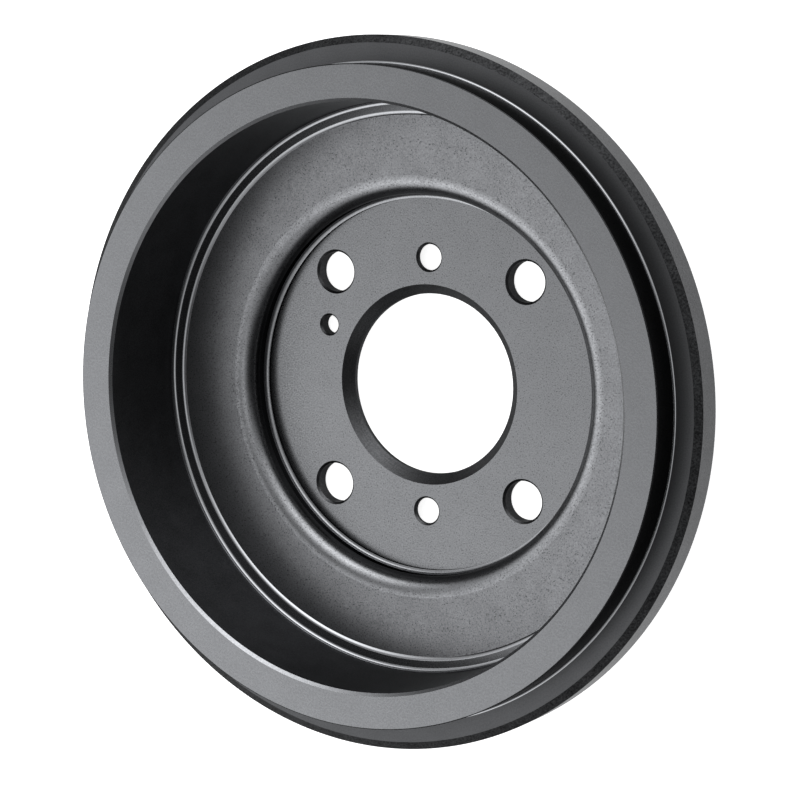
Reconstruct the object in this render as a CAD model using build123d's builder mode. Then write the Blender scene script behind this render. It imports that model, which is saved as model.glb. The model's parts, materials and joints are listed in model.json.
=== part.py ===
from build123d import *
from math import radians, tan
import os

# A brake drum, cast in one piece and machined. It lies on its wheel face with its mouth up.
# The origin is on the drum's axis in the plane of the wheel face, and +Z points out of the mouth.
# Sizes are in millimetres and angles in degrees. Radii are measured from the drum's axis.

# Hub plate, clamped between the axle hub and the wheel
plate_thickness = 6.0
seat_margin = 4.75  # machined seat of the axle hub, outside the stud holes
seat_stock = 1.0  # height of the cast floor that the seat is sunk into

# Centre bore
bore_d = 64.0
bore_lead_in = 3.5  # wide chamfer on the shoe side
bore_edge = 0.8  # small chamfer on the wheel side

# Wheel stud holes
stud_circle_d = 108.0
stud_count = 4
stud_hole_d = 14.3
stud_hole_edge = 0.8

# Retaining screw holes between the stud holes, with flat heads sunk into the wheel face
screw_circle_d = 90.0
screw_count = 2
screw_hole_d = 9.2
screw_hole_edge = 0.65
screw_head_d = 17.6

# Hole of the jack screw that pushes the drum off its hub
jack_hole_d = 6.8
jack_hole_edge = 0.65
jack_entry_edge = 1.2  # on the wheel side, where the screw starts
jack_hole_turn = 65.0  # round the screw circle from the upper retaining screw

# Cast step from the hub plate up to the web, with a rolled brow at its top
recess_gap = 1.4  # from the seat's edge to the recess wall
recess_depth = 11.25  # from the seat up to the crease between brow and web
recess_foot = 1.2
brow_radius = 6.2
brow_width = 6.9
brow_tilt = 6.0  # how far the brow rolls over before it meets the web

# Web, dished on the shoe side and flat on the wheel side
web_cone = 2.7
web_thickness = 6.5  # at the crease, where it is thinnest

# Braking surface, bored down to a narrow ledge above the web
brake_d = 200.0
brake_foot = 1.4
ledge_width = 4.4
ledge_rise = 0.75
mouth_chamfer = 1.0

# Hub pad, with the wheel face at its end and a sloping cast side
pad_margin = 6.8  # outside the recess wall
pad_edge = 1.0
pad_lean = 40.0  # from the drum's axis
pad_foot_radius = 5.0

# Outside of the barrel
barrel_wall = 7.6
barrel_draft = 1.5
shoulder = 6.0  # chamfer between the web's back and the barrel

# Mouth: a plain ring that stands above a wide flange
overall_height = 57.5
mouth_wall = 12.4
mouth_ring_height = 12.5
flange_reach = 9.6
flange_foot = 1.4
flange_rim_length = 10.25
flange_band_width = 2.7  # sloping cast band outside the flange's machined face
flange_band_drop = 1.3
flange_back_slope = 10.0
flange_back_edge = 0.8
flange_root = 4.0

# Radii worked out from the sizes above
bore_r = bore_d / 2
stud_hole_r = stud_hole_d / 2
screw_hole_r = screw_hole_d / 2
screw_head_edge = screw_head_d / 2 - screw_hole_r
jack_hole_r = jack_hole_d / 2
seat_r = stud_circle_d / 2 + stud_hole_r + seat_margin
recess_r = seat_r + recess_gap
crease_r = recess_r + brow_width
pad_r = recess_r + pad_margin
brake_r = brake_d / 2
ledge_r = brake_r - ledge_width
barrel_r = brake_r + barrel_wall
mouth_r = brake_r + mouth_wall
flange_r = mouth_r + flange_reach

# Heights above the wheel face
cast_floor_z = plate_thickness + seat_stock
crease_z = plate_thickness + recess_depth
brow_z = crease_z + brow_width * tan(radians(brow_tilt))
web_rim_z = crease_z + (ledge_r - ledge_rise - crease_r) * tan(radians(web_cone))
web_back_z = crease_z - web_thickness
ledge_z = web_rim_z + ledge_rise
flange_face_z = overall_height - mouth_ring_height
rim_top_z = flange_face_z - flange_band_drop
rim_back_z = rim_top_z - flange_rim_length

# Foot of the hub pad's sloping side, rounded no wider than the web's flat back outside it
pad_foot_r = pad_r + (web_back_z - pad_edge) * tan(radians(pad_lean))
pad_foot = min(pad_foot_radius, barrel_r - shoulder - pad_foot_r)

# The barrel's outside widens a little towards the flange
barrel_top_z = rim_back_z - (flange_r - barrel_r) * tan(radians(flange_back_slope))
barrel_top_r = barrel_r + (barrel_top_z - web_back_z) * tan(radians(barrel_draft))

# Included angle of the sunk edges of holes, and how close an edge lies to the place it is picked by
edge_angle = 90.0
edge_match = 0.001


def flange_back_z(radius):
    """Height of the flange's sloping back."""
    return rim_back_z - (flange_r - radius) * tan(radians(flange_back_slope))


def rims(radius, height):
    """The casting's round edges of one radius at one height."""
    edges = brake_drum.edges().filter_by(GeomType.CIRCLE)
    edges = edges.filter_by_position(Axis.Z, height - edge_match, height + edge_match)
    return edges.filter_by(lambda edge: abs(edge.radius - radius) < edge_match)


def drill(circle_d, count, turn, hole_r, shoe_edge, wheel_edge):
    """Round holes through the hub plate, sunk on the shoe side and on the wheel side."""
    shoe_side = Plane.XY.offset(plate_thickness)
    wheel_side = Plane.XY.rotated((180, 0, 0))
    for side, start_angle, edge in ((shoe_side, turn, shoe_edge), (wheel_side, -turn, wheel_edge)):
        with Locations(side):
            with PolarLocations(circle_d / 2, count, start_angle=start_angle):
                CounterSinkHole(hole_r, hole_r + edge, counter_sink_angle=edge_angle)


with BuildPart() as brake_drum:
    # Outside of the casting, from the wheel face round the barrel and flange to the mouth
    with BuildSketch(Plane.XZ):
        with BuildLine():
            FilletPolyline(
                (0, 0),
                (pad_r - pad_edge, 0),
                (pad_r, pad_edge),
                (pad_foot_r, web_back_z),
                (barrel_r - shoulder, web_back_z),
                (barrel_r + shoulder * tan(radians(barrel_draft)), web_back_z + shoulder),
                (barrel_top_r, barrel_top_z - flange_root),
                (barrel_top_r + flange_root, flange_back_z(barrel_top_r + flange_root)),
                (flange_r - flange_back_edge, flange_back_z(flange_r - flange_back_edge)),
                (flange_r, rim_back_z + flange_back_edge),
                (flange_r, rim_top_z),
                (flange_r - flange_band_width, flange_face_z),
                (mouth_r + flange_foot, flange_face_z),
                (mouth_r, flange_face_z + flange_foot),
                (mouth_r, overall_height),
                (0, overall_height),
                radius=[0, 0, 0, pad_foot] + 12 * [0],
                close=True,
            )
        make_face()
    revolve(axis=Axis.Z)

    # Cast cavity: the hub recess with its brow, the web, and the slope up to the ledge
    with BuildSketch(Plane.XZ):
        with BuildLine():
            FilletPolyline(
                (0, cast_floor_z),
                (recess_r - recess_foot, cast_floor_z),
                (recess_r, cast_floor_z + recess_foot),
                (recess_r, brow_z),
                (crease_r, crease_z),
                (ledge_r - ledge_rise, web_rim_z),
                (ledge_r, ledge_z),
                (ledge_r, overall_height),
                (0, overall_height),
                radius=[0, 0, 0, brow_radius] + 5 * [0],
                close=True,
            )
        make_face()
    revolve(axis=Axis.Z, mode=Mode.SUBTRACT)

    # Braking surface down to the ledge, with a chamfered foot and mouth
    with BuildSketch(Plane.XZ):
        with BuildLine():
            Polyline(
                (0, ledge_z),
                (brake_r - brake_foot, ledge_z),
                (brake_r, ledge_z + brake_foot),
                (brake_r, overall_height - mouth_chamfer),
                (brake_r + mouth_chamfer, overall_height),
                (0, overall_height),
                close=True,
            )
        make_face()
    revolve(axis=Axis.Z, mode=Mode.SUBTRACT)

    # Seat of the axle hub, sunk into the cast floor
    with BuildSketch(Plane.XY.offset(plate_thickness)):
        Circle(seat_r)
    extrude(amount=overall_height, mode=Mode.SUBTRACT)

    # Centre bore, with a wide lead-in for the axle hub
    Hole(bore_r)
    chamfer(rims(bore_r, plate_thickness), bore_lead_in)
    chamfer(rims(bore_r, 0), bore_edge)

    # Wheel stud holes, retaining screw holes and jack screw hole
    drill(stud_circle_d, stud_count, 180 / stud_count, stud_hole_r, stud_hole_edge, stud_hole_edge)
    drill(screw_circle_d, screw_count, 90, screw_hole_r, screw_hole_edge, screw_head_edge)
    drill(screw_circle_d, 1, 90 + jack_hole_turn, jack_hole_r, jack_hole_edge, jack_entry_edge)

brake_drum.part.label = "brake_drum"
os.makedirs("parts", exist_ok=True)
export_step(brake_drum.part, "parts/brake_drum.step")
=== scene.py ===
import json
from math import cos, pi, radians, sin, tan

import bpy
from mathutils import Matrix, Vector


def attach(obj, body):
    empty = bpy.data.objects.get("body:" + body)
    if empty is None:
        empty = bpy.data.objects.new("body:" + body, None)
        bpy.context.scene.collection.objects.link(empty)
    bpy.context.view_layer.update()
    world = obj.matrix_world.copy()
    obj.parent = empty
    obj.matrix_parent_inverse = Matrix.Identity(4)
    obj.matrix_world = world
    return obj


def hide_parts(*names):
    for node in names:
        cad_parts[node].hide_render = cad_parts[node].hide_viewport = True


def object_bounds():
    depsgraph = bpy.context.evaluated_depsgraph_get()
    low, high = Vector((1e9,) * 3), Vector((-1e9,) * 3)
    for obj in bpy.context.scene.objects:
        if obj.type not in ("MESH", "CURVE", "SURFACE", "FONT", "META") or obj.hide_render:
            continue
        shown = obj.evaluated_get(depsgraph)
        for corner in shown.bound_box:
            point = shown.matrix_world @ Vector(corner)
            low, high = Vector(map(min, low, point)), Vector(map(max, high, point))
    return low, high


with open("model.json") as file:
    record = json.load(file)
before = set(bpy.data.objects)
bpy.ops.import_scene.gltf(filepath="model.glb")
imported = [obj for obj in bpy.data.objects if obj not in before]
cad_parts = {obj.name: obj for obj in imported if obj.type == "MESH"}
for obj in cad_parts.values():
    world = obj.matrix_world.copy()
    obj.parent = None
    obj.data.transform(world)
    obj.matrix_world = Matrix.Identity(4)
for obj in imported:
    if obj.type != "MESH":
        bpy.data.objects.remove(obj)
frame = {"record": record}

# The looks of a brake drum. It lies on its wheel face with its mouth up, and the camera looks into the mouth.
# Lengths are in metres. A profile's points are (radius, height) in the plane through the drum's axis.

MM = 0.001
cad_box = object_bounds()
mounts = {mount["name"]: mount for mount in frame["record"]["mounts"]}

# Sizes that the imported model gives
height = cad_box[1][2]
flange_r = cad_box[1][0]
plate_top = mounts["hub_seat"]["pos_m"][2]
bore_r = mounts["centre_bore"]["dims"]["r_mm"] * MM
brake_r = mounts["brake_surface"]["dims"]["r_mm"] * MM
stud_dims = mounts["stud_holes"]["dims"]
stud_count = stud_dims["count"]
stud_circle_r = stud_dims["pcd_mm"] / 2 * MM
stud_hole_r = stud_dims["hole_r_mm"] * MM
screw_dims = mounts["screw_holes"]["dims"]
screw_circle_r = screw_dims["spacing_y_mm"] / 2 * MM
screw_hole_r = screw_dims["hole_r_mm"] * MM
jack_x, jack_y = mounts["jack_hole"]["pos_m"][:2]
jack_hole_r = mounts["jack_hole"]["dims"]["r_mm"] * MM

# Hub plate and the cast step round it
bore_edge = 0.8 * MM
bore_lead_in = 3.5 * MM
seat_r = 65.9 * MM
recess_r = 67.3 * MM
recess_foot = recess_r - seat_r
cast_floor_z = plate_top + 1.0 * MM
crease_r = 74.2 * MM
crease_z = plate_top + 11.25 * MM
brow_radius = 6.2 * MM
brow_slope = tan(radians(6.0))
brow_z = crease_z + (crease_r - recess_r) * brow_slope

# Edges sunk round the holes. The screws' heads and the jack screw's start are on the wheel side.
stud_edge = 0.8 * MM
screw_edge = 0.65 * MM
screw_sink = 4.2 * MM
jack_edge = 0.65 * MM
jack_entry = 1.2 * MM

# Web and ledge
ledge_r = brake_r - 4.4 * MM
ledge_rise = 0.75 * MM
ledge_foot = 0.2 * MM
ledge_edge = 1.6 * MM
web_slope = tan(radians(2.7))
web_rim_z = crease_z + (ledge_r - ledge_rise - crease_r) * web_slope
ledge_z = web_rim_z + ledge_rise
brake_foot = 1.4 * MM
mouth_chamfer = 1.0 * MM

# Mouth ring and flange
mouth_r = brake_r + 12.4 * MM
mouth_edge = 0.35 * MM
flange_face_z = height - 12.5 * MM
flange_foot = 0.8 * MM
band_width = 2.7 * MM
rim_top_z = flange_face_z - 1.3 * MM
rim_back_z = rim_top_z - 10.25 * MM
back_slope = tan(radians(10.0))
back_edge = 0.8 * MM

# Outside of the barrel, which widens a little towards the flange
web_back_z = crease_z - 6.5 * MM
barrel_r = brake_r + 7.6 * MM
barrel_draft = tan(radians(1.5))
barrel_top_z = rim_back_z - (flange_r - barrel_r) * back_slope
barrel_top_r = barrel_r + (barrel_top_z - web_back_z) * barrel_draft
root_r = barrel_top_r + 2.0 * MM
root_radius = 5.0 * MM
shoulder = 6.0 * MM
shoulder_r = barrel_r + shoulder * barrel_draft
shoulder_radius = 4.0 * MM

# Hub pad, with the wheel face at its end
pad_edge = 1.0 * MM
pad_r = recess_r + 6.8 * MM
pad_lean = tan(radians(40.0))
pad_foot_r = pad_r + (web_back_z - pad_edge) * pad_lean
pad_foot_radius = 5.0 * MM

# Fineness of the mesh. Cutters stand out past the hub plate by the spare length.
body_turns = 600
hole_turns = 96
arc_step = radians(12)
sharp_angle = radians(20)
same_point = 0.001 * MM
cut_spare = 1.0 * MM

# The iron's hue and mottling: its cloudy patches and how much they add, how far the noise swings between dark
# and light, the range of the noise that its roughness follows, and how rough the noise itself is
iron_hue = (0.985, 0.995, 1.03)
broad_patch = 9 * MM
broad_share = 0.25
tone_swing = 0.25
rough_swing = (0.3, 0.7)
noise_roughness = 0.6

# Marks of the turning tool: their pitch and depth, how far they wander, and how much they add to the mottling
tool_pitch = 0.35 * MM
tool_depth = 0.002 * MM
tool_wander = 0.3 * MM
tool_share = 0.35

# Small pits of the casting: their size, how softly they begin, and the share of the iron's tone in them
pit_size = 0.5 * MM
pit_fade = 0.05
pit_shade = 0.5

# Painted shade on the brow, in place of the recess's shade: the heights between which its colour darkens,
# and the share of its tone left below them
brow_painted_shade = (brow_z - 4.8 * MM, brow_z - 2.0 * MM)
painted_shade_share = 0.18

# What iron() takes for each finish, in the order of the mesh's material slots
FINISHES = {
    "faced": dict(tone=0.173, mottle=0.11, grain=0.7 * MM, rough=(0.32, 0.24), lay="rings", sweep=0.4),
    "hub": dict(
        tone=0.19, mottle=0.12, grain=0.6 * MM, rough=(0.32, 0.24),
        lay="rings", sweep=0.4, pits=0.26,
    ),
    "bored": dict(tone=0.075, mottle=0.45, grain=0.5 * MM, rough=(0.36, 0.3), lay="hoops", shine=0.45),
    # The mouth ring's outer wall: machined iron with hoops, its near-black tone a painted shade
    "lip": dict(tone=0.02, mottle=0.3, grain=0.5 * MM, rough=(0.34, 0.26), lay="hoops", shine=0.5),
    "turned": dict(tone=0.088, mottle=0.16, grain=0.5 * MM, rough=(0.5, 0.44), lay="rings", sweep=0.4),
    "edge": dict(tone=0.32, mottle=0.1, grain=0.5 * MM, rough=(0.2, 0.15)),
    "foot": dict(tone=0.27, mottle=0.2, grain=0.5 * MM, rough=(0.32, 0.26)),
    "rim": dict(tone=0.1, mottle=0.3, grain=0.7 * MM, rough=(0.3, 0.22), lay="hoops"),
    "cast": dict(tone=0.19, mottle=0.3, grain=0.6 * MM, rough=(0.36, 0.28), pits=0.27, relief=0.006 * MM),
    # The brow's colour fades into a painted shade towards the recess
    "brow": dict(
        tone=0.23, mottle=0.3, grain=0.6 * MM, rough=(0.33, 0.26),
        pits=0.27, relief=0.006 * MM, shine=0.6, painted_shade=brow_painted_shade,
    ),
    # The dark finish is painted shade: a near-black tone on the seat and recess walls and the mouth's edge
    "dark": dict(tone=0.03, mottle=0.3, grain=0.7 * MM, rough=(0.3, 0.22), lay="hoops", shine=0.3),
    "rough": dict(tone=0.03, mottle=0.75, grain=0.7 * MM, rough=(0.42, 0.34), pits=0.3, relief=0.03 * MM),
}
slot_of = {finish: slot for slot, finish in enumerate(FINISHES)}

# The floor lies just under the drum. It adds its white to the camera's view and its gloss to reflections.
floor_size = 12.0
floor_gap = 0.1 * MM
floor_tone = 0.8
floor_roughness = 0.9
floor_white = 0.85
floor_gloss = 0.15

# Soft lights of the studio: azimuth and elevation in degrees, strength, and how tight each is
soft_lights = (
    (100, 30, 3.2, 12),
    (60, 31, 2.3, 10),
    (176, 34, 1.5, 14),
    (222, 42, 2.4, 8.5),
    (290, 35, 0.7, 12),
    (350, 73, 1.2, 20),
)
room_dark = 0.01
room_hue = (0.98, 0.99, 1.0)

# The camera of the photograph. Its sensor and lens are in millimetres, as Blender has them.
sensor_width = 36.0
lens = 121.03
eye = Vector((463.23, 116.04, 824.30)) * MM
aim = Vector((-11.31, -6.20, 6.0)) * MM
upright = Vector((-0.009, 1.0, 0.0))


def sharp(r, z, after):
    """A sharp corner of a profile, with the finish of the stretch after it."""
    return r, z, 0, after, after


def arc(r, z, radius, own, after):
    """A rounded corner of a profile, with its own finish and that of the stretch after it."""
    return r, z, radius, own, after


def rounded(corners):
    """The points of a closed profile and the finish of each stretch."""
    points = []
    finishes = []
    for index, (r, z, radius, own, after) in enumerate(corners):
        corner = Vector((r, z))
        bend = [corner]
        if radius > 0:
            back = (Vector(corners[index - 1][:2]) - corner).normalized()
            ahead = (Vector(corners[(index + 1) % len(corners)][:2]) - corner).normalized()
            half = back.angle(ahead) / 2
            centre = corner + (back + ahead).normalized() * (radius / sin(half))
            start = corner + back * (radius / tan(half)) - centre
            turn = pi - 2 * half
            side = 1 if back.x * ahead.y - back.y * ahead.x < 0 else -1
            steps = max(2, round(turn / arc_step))
            turns = [side * turn * step / steps for step in range(steps + 1)]
            bend = [centre + Matrix.Rotation(angle, 2) @ start for angle in turns]
        if points and (bend[0] - points[-1]).length < same_point:
            points.pop()
            finishes.pop()
        points += bend
        finishes += [own] * (len(bend) - 1) + [after]
    return points, finishes


def lathe(name, points, finishes, turns, closed):
    """A mesh object turned about Z from a profile.

    An open profile gets a flat cap at each end. A cutter's caps lie outside the drum and never show.
    """
    verts = []
    for turn in range(turns):
        angle = 2 * pi * (turn + 0.5) / turns
        verts += [(p.x * cos(angle), p.x * sin(angle), p.y) for p in points]
    count = len(points)
    faces = []
    slots = []
    for turn in range(turns):
        here = turn * count
        there = (turn + 1) % turns * count
        for index in range(count if closed else count - 1):
            following = (index + 1) % count
            faces.append((here + index, there + index, there + following, here + following))
            slots.append(slot_of[finishes[index]])
    if not closed:
        faces.append([turn * count for turn in range(turns)][::-1])
        faces.append([turn * count + count - 1 for turn in range(turns)])
        slots += [0, 0]
    mesh = bpy.data.meshes.new(name)
    mesh.from_pydata(verts, [], faces)
    mesh.polygons.foreach_set("material_index", slots)
    thing = bpy.data.objects.new(name, mesh)
    bpy.context.scene.collection.objects.link(thing)
    return thing


def drum_profile():
    """The drum's closed profile, from the bore over the shoe side to the mouth and back round the outside."""
    return rounded([
        sharp(bore_r, bore_edge, "bored"),
        sharp(bore_r, plate_top - bore_lead_in, "bored"),
        sharp(bore_r + bore_lead_in, plate_top, "hub"),
        # The seat wall, the recess wall and the mouth's edge take the dark finish, which paints in their
        # shade
        sharp(seat_r, plate_top, "dark"),
        sharp(seat_r, cast_floor_z, "foot"),
        arc(recess_r, cast_floor_z, recess_foot, "foot", "dark"),
        arc(recess_r, brow_z, brow_radius, "brow", "cast"),
        sharp(crease_r, crease_z, "cast"),
        arc(ledge_r - ledge_rise, web_rim_z, ledge_foot, "cast", "edge"),
        arc(ledge_r, ledge_z, ledge_edge, "edge", "faced"),
        arc(brake_r, ledge_z, brake_foot, "edge", "bored"),
        sharp(brake_r, height - mouth_chamfer, "foot"),
        sharp(brake_r + mouth_chamfer, height, "faced"),
        arc(mouth_r, height, mouth_edge, "dark", "lip"),
        arc(mouth_r, flange_face_z, flange_foot, "edge", "turned"),
        sharp(flange_r - band_width, flange_face_z, "rough"),
        sharp(flange_r, rim_top_z, "rim"),
        arc(flange_r, rim_back_z, back_edge, "rim", "rough"),
        arc(root_r, rim_back_z - (flange_r - root_r) * back_slope, root_radius, "rough", "rough"),
        arc(shoulder_r, web_back_z + shoulder, shoulder_radius, "rough", "rough"),
        arc(barrel_r - shoulder, web_back_z, shoulder_radius, "rough", "rough"),
        arc(pad_foot_r, web_back_z, pad_foot_radius, "rough", "rough"),
        sharp(pad_r, pad_edge, "faced"),
        sharp(pad_r - pad_edge, 0, "faced"),
        sharp(bore_r + bore_edge, 0, "faced"),
    ])


def hole_cutter(name, x, y, hole_r, shoe_edge, wheel_edge):
    """A solid that cuts a round hole with an edge sunk into each side of the hub plate."""
    points = [
        Vector((hole_r + wheel_edge + cut_spare, -cut_spare)),
        Vector((hole_r, wheel_edge)),
        Vector((hole_r, plate_top - shoe_edge)),
        Vector((hole_r + shoe_edge + cut_spare, plate_top + cut_spare)),
    ]
    cutter = lathe(name, points, ["bored"] * len(points), hole_turns, closed=False)
    cutter.location = (x, y, 0)
    return cutter


def hole_cutters():
    """The cutters of the stud holes, the screw holes and the jack screw hole."""
    cutters = []
    for index in range(stud_count):
        angle = 2 * pi * (index + 0.5) / stud_count
        x, y = stud_circle_r * cos(angle), stud_circle_r * sin(angle)
        cutters.append(hole_cutter(f"stud_cut_{index}", x, y, stud_hole_r, stud_edge, stud_edge))
    for index, y in enumerate((screw_circle_r, -screw_circle_r)):
        cutters.append(hole_cutter(f"screw_cut_{index}", 0, y, screw_hole_r, screw_edge, screw_sink))
    cutters.append(hole_cutter("jack_cut", jack_x, jack_y, jack_hole_r, jack_edge, jack_entry))
    return cutters


def build_drum():
    """The whole casting as one mesh, with its holes cut."""
    drum = lathe("drum_casting", *drum_profile(), body_turns, closed=True)
    cutters = hole_cutters()
    materials = [iron(f"iron_{finish}", **look) for finish, look in FINISHES.items()]
    for thing in [drum] + cutters:
        for material in materials:
            thing.data.materials.append(material)
    for cutter in cutters:
        cut = drum.modifiers.new(cutter.name, "BOOLEAN")
        cut.object = cutter
        cut.operation = "DIFFERENCE"
        cut.solver = "EXACT"
    bpy.context.view_layer.update()
    whole = drum.evaluated_get(bpy.context.evaluated_depsgraph_get())
    mesh = bpy.data.meshes.new_from_object(whole)
    drum.modifiers.clear()
    drum.data = mesh
    for cutter in cutters:
        bpy.data.objects.remove(cutter)
    mesh.shade_smooth()
    mesh.set_sharp_from_angle(angle=sharp_angle)
    even = drum.modifiers.new("even_normals", "WEIGHTED_NORMAL")
    even.keep_sharp = True
    return drum


class Nodes:
    """Short hand for building the nodes of a material or of the world."""

    def __init__(self, owner, shader):
        owner.use_nodes = True
        self.tree = owner.node_tree
        self.shader = self.tree.nodes[shader]

    def fill(self, node, inputs):
        """Fills a node's inputs, by name or index, with numbers, vectors or other nodes' sockets."""
        for key, value in inputs.items():
            if isinstance(value, bpy.types.NodeSocket):
                self.tree.links.new(value, node.inputs[key])
            else:
                node.inputs[key].default_value = value

    def add(self, kind, inputs=None, **settings):
        """A new node with its inputs filled."""
        node = self.tree.nodes.new(kind)
        for key, value in settings.items():
            setattr(node, key, value)
        self.fill(node, inputs or {})
        return node

    def maths(self, operation, *values):
        return self.add("ShaderNodeMath", dict(enumerate(values)), operation=operation).outputs[0]

    def scaled(self, vector, factor):
        """A vector or a colour times a number."""
        return self.add("ShaderNodeVectorMath", {0: vector, 3: factor}, operation="SCALE").outputs[0]

    def height_of(self, vector):
        return self.add("ShaderNodeSeparateXYZ", {0: vector}).outputs["Z"]

    def noise(self, vector, size, detail):
        """Cloudy noise about 0.5 with features of one size."""
        inputs = {"Vector": vector, "Scale": 1 / size, "Detail": detail, "Roughness": noise_roughness}
        return self.add("ShaderNodeTexNoise", inputs).outputs["Fac"]

    def spread(self, value, low, high, out_low, out_high):
        """Moves the range low to high onto another range, and stops at its ends."""
        inputs = {"Value": value, "From Min": low, "From Max": high, "To Min": out_low, "To Max": out_high}
        return self.add("ShaderNodeMapRange", inputs).outputs["Result"]

    def tint(self, factor, dark, light):
        """A colour between two colours."""
        inputs = {0: factor, 6: (*dark, 1), 7: (*light, 1)}
        return self.add("ShaderNodeMix", inputs, data_type="RGBA").outputs[2]


def tool_marks(nodes, place, lay):
    """Fine marks of the turning tool, as rings on a flat face or as hoops on a wall."""
    if lay == "rings":
        flat = nodes.add("ShaderNodeVectorMath", {0: place, 1: (1, 1, 0)}, operation="MULTIPLY").outputs[0]
        along = nodes.add("ShaderNodeVectorMath", {0: flat}, operation="LENGTH").outputs["Value"]
    else:
        along = nodes.height_of(place)
    wander = nodes.maths("MULTIPLY", nodes.noise(place, broad_patch, detail=1.0), tool_wander)
    track = nodes.add("ShaderNodeCombineXYZ", {"X": nodes.maths("ADD", along, wander)}).outputs[0]
    return nodes.noise(track, tool_pitch, detail=2.0)


def iron(
    name, tone, mottle, grain, rough, lay=None, sweep=0.0, pits=0.0, relief=tool_depth, shine=1.0, painted_shade=None
):
    """Bare grey iron.

    tone is the mean brightness of its reflection, mottle how far that varies, and grain the size of the
    mottling. rough is the range of its roughness. lay is "rings" for a tool's marks on a flat face, or
    "hoops" for those on a wall, and sweep is how far they draw out its highlights. pits is the share of small
    dark pits, and relief the depth of the marks or of the cast grain. shine is the brightness of reflections
    at a glancing angle. The last argument is the pair of heights below which the iron's colour is darkened
    as painted shade, in place of a recess's shade; above them it has its own tone.
    """
    material = bpy.data.materials.new(name)
    nodes = Nodes(material, "Principled BSDF")
    place = nodes.add("ShaderNodeTexCoord").outputs["Object"]
    fine = nodes.noise(place, grain, detail=3.0)
    broad = nodes.noise(place, broad_patch, detail=1.0)
    value = nodes.maths("ADD", fine, nodes.maths("MULTIPLY", broad, broad_share))
    middle = 0.5 + 0.5 * broad_share
    height_map = fine
    if lay:
        height_map = tool_marks(nodes, place, lay)
        value = nodes.maths("ADD", value, nodes.maths("MULTIPLY", height_map, tool_share))
        middle += 0.5 * tool_share
    dark, light = tone * (1 - mottle), tone * (1 + mottle)
    colour = nodes.tint(
        nodes.spread(value, middle - tone_swing, middle + tone_swing, 0, 1),
        [dark * share for share in iron_hue],
        [light * share for share in iron_hue],
    )
    if pits > 0:
        edge = 1 - pits
        spots = nodes.noise(place, pit_size, detail=0.0)
        colour = nodes.scaled(colour, nodes.spread(spots, edge - pit_fade, edge, 1.0, pit_shade))
    # Painted shade: below the given heights the colour is darkened, in place of the shade of a recess
    if painted_shade:
        colour = nodes.scaled(colour, nodes.spread(nodes.height_of(place), *painted_shade, painted_shade_share, 1.0))
    bump = nodes.add("ShaderNodeBump", {"Height": height_map, "Strength": 1.0, "Distance": relief})
    nodes.fill(nodes.shader, {
        "Base Color": colour,
        "Roughness": nodes.spread(fine, *rough_swing, *rough),
        "Metallic": 1.0,
        "Specular Tint": (shine, shine, shine, 1),
        "Anisotropic": sweep,
        "Normal": bump.outputs["Normal"],
    })
    if sweep:
        round_axis = nodes.add("ShaderNodeTangent", direction_type="RADIAL", axis="Z")
        nodes.fill(nodes.shader, {"Tangent": round_axis.outputs[0]})
    return material


def add_floor():
    """A wide pale floor, white to the camera and in reflections, that keeps a soft shadow."""
    bpy.ops.mesh.primitive_plane_add(size=floor_size)
    floor = bpy.context.object
    floor.name = "floor"
    floor.location.z = -floor_gap
    paint = bpy.data.materials.new("floor_paint")
    nodes = Nodes(paint, "Principled BSDF")
    path = nodes.add("ShaderNodeLightPath")
    seen = nodes.maths("MAXIMUM", path.outputs["Is Camera Ray"], path.outputs["Is Transmission Ray"])
    gloss = nodes.maths("MULTIPLY", path.outputs["Is Glossy Ray"], floor_gloss)
    nodes.fill(nodes.shader, {
        "Base Color": (floor_tone, floor_tone, floor_tone, 1),
        "Roughness": floor_roughness,
        "Specular IOR Level": 0,
        "Emission Color": (1, 1, 1, 1),
        "Emission Strength": nodes.maths("ADD", nodes.maths("MULTIPLY", seen, floor_white), gloss),
    })
    floor.data.materials.append(paint)


def add_camera():
    """The camera at the photograph's viewing angle."""
    data = bpy.data.cameras.new("camera")
    data.sensor_width = sensor_width
    data.lens = lens
    camera = bpy.data.objects.new("camera", data)
    bpy.context.scene.collection.objects.link(camera)
    ahead = (aim - eye).normalized()
    right = ahead.cross(upright).normalized()
    up = right.cross(ahead)
    turn = Matrix((right, up, -ahead)).transposed()
    camera.matrix_world = Matrix.Translation(eye) @ turn.to_4x4()
    bpy.context.scene.camera = camera


def add_room():
    """A dark studio whose soft lights fade out smoothly round their middles."""
    world = bpy.data.worlds.new("studio")
    nodes = Nodes(world, "Background")
    towards = nodes.add("ShaderNodeTexCoord").outputs["Generated"]
    total = room_dark
    for azimuth, elevation, strength, tightness in soft_lights:
        flat = cos(radians(elevation))
        middle = (flat * cos(radians(azimuth)), flat * sin(radians(azimuth)), sin(radians(elevation)))
        cosine = nodes.add("ShaderNodeVectorMath", {0: towards, 1: middle}, operation="DOT_PRODUCT")
        fade = nodes.maths("MULTIPLY", nodes.maths("SUBTRACT", cosine.outputs["Value"], 1.0), tightness)
        glow = nodes.maths("MULTIPLY", nodes.maths("EXPONENT", fade), strength)
        total = nodes.maths("ADD", glow, total)
    nodes.fill(nodes.shader, {"Color": (*room_hue, 1), "Strength": total})
    bpy.context.scene.world = world


drum = build_drum()
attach(drum, "root")
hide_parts("brake_drum")

add_floor()
add_camera()
add_room()
bpy.context.scene.view_settings.view_transform = "Standard"
